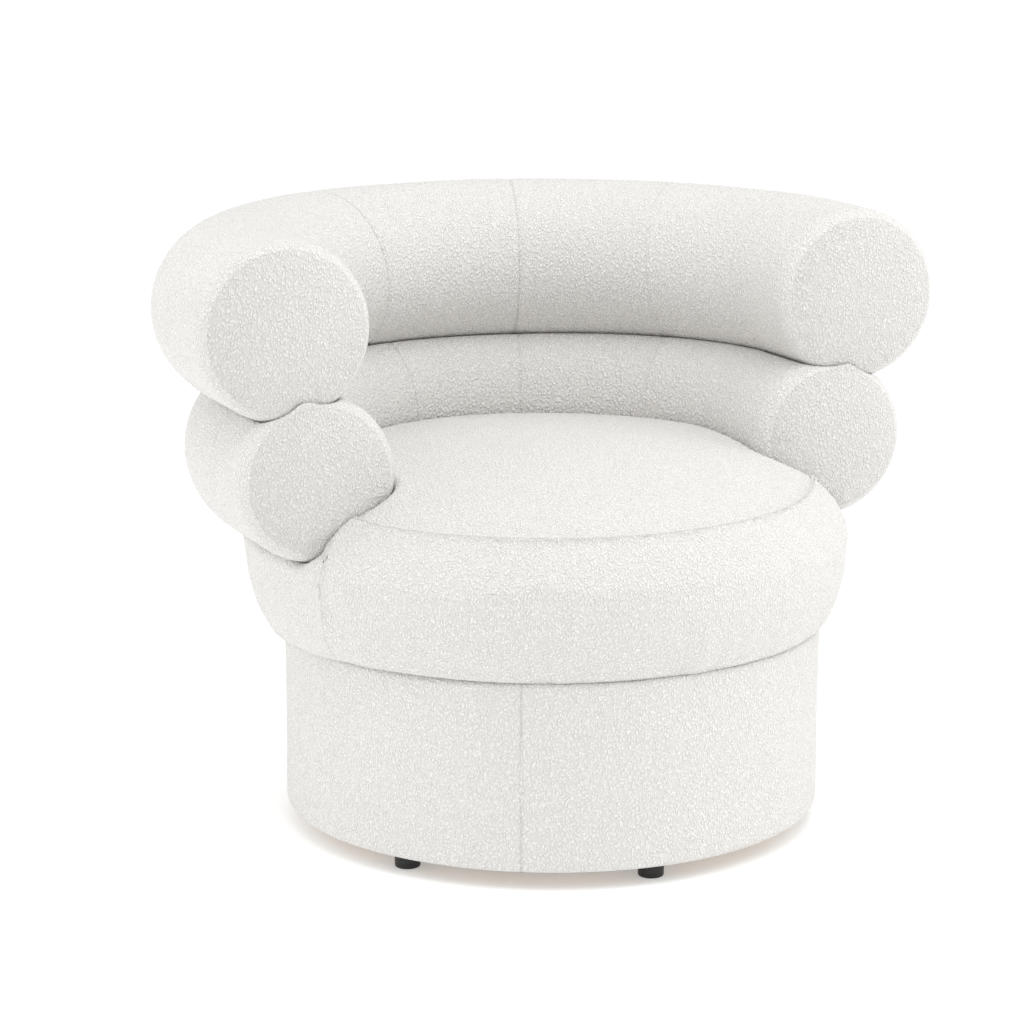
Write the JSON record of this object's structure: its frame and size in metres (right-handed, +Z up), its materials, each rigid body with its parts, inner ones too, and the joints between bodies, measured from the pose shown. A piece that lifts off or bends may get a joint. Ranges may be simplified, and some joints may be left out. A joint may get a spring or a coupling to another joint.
{
  "type": "upholstered swivel armchair",
  "caption": "Round swivel armchair: drum base, thick round seat cushion, and two stacked U-shaped bolsters that form the back and arms, all covered in looped fabric.",
  "frame": {"origin": "on the floor, below the middle of the chair's overall width and depth; the swivel axis stands 62.75 mm in front of it, at x = 0", "axes": "+X to the sitter's left, across the arms and the longest side; +Y towards the back; +Z up"},
  "size_m": [0.871, 0.7714, 0.6755],
  "materials": {
    "glide_plastic": "black moulded plastic",
    "plywood": "unfinished birch plywood",
    "hardboard": "smooth brown hardboard",
    "softwood": "planed softwood",
    "screw_steel": "zinc-plated",
    "frame_steel": "black powder coat",
    "ball_steel": "polished",
    "spring_steel": "drawn spring wire",
    "pad_felt": "grey needled felt",
    "dust_cloth": "black non-woven cloth",
    "foam": "open-cell cushion foam",
    "boucle": "off-white boucle with a looped, nubby surface"
  },
  "bodies": {
    "base": {"glide_1": "glide_plastic", "glide_2": "glide_plastic", "glide_3": "glide_plastic", "glide_4": "glide_plastic", "glide_5": "glide_plastic", "glide_6": "glide_plastic", "glide_screws": "screw_steel", "base_bottom_ring": "plywood", "base_top_panel": "plywood", "base_post_1": "softwood", "base_post_2": "softwood", "base_post_3": "softwood", "base_post_4": "softwood", "base_frame_screws": "screw_steel", "base_skin": "hardboard", "base_foam": "foam", "base_cover": "boucle", "dust_cover": "dust_cloth", "swivel_lower_plate": "frame_steel", "swivel_balls": "ball_steel", "swivel_base_screws": "screw_steel"},
    "seat": {"swivel_upper_plate": "frame_steel", "swivel_seat_screws": "screw_steel", "seat_panel": "plywood", "seat_riser_1": "softwood", "seat_riser_2": "softwood", "seat_riser_3": "softwood", "seat_riser_4": "softwood", "seat_ring": "plywood", "seat_frame_screws": "screw_steel", "spring_1": "spring_steel", "spring_2": "spring_steel", "spring_3": "spring_steel", "spring_4": "spring_steel", "spring_5": "spring_steel", "spring_clips": "spring_steel", "spring_pad": "pad_felt", "upper_hoop": "frame_steel", "lower_hoop": "frame_steel", "back_post_1": "frame_steel", "back_post_2": "frame_steel", "back_post_3": "frame_steel", "back_post_4": "frame_steel", "back_strut_1": "frame_steel", "back_strut_2": "frame_steel", "back_strut_3": "frame_steel", "back_strut_4": "frame_steel", "post_screws": "screw_steel", "seat_foam": "foam", "seat_cover_top": "boucle", "seat_cover_band": "boucle", "upper_bolster_foam": "foam", "upper_bolster_cover": "boucle", "lower_bolster_foam": "foam", "lower_bolster_cover": "boucle", "upper_bolster_end_cap_left": "boucle", "upper_bolster_end_cap_right": "boucle", "lower_bolster_end_cap_left": "boucle", "lower_bolster_end_cap_right": "boucle"}
  },
  "joints": [
    {"name": "seat_swivel", "type": "hinge", "parent": "base", "child": "seat", "pos_m": [0, -0.06275, 0.2195], "axis": [0, 0, 1], "continuous": true}
  ]
}
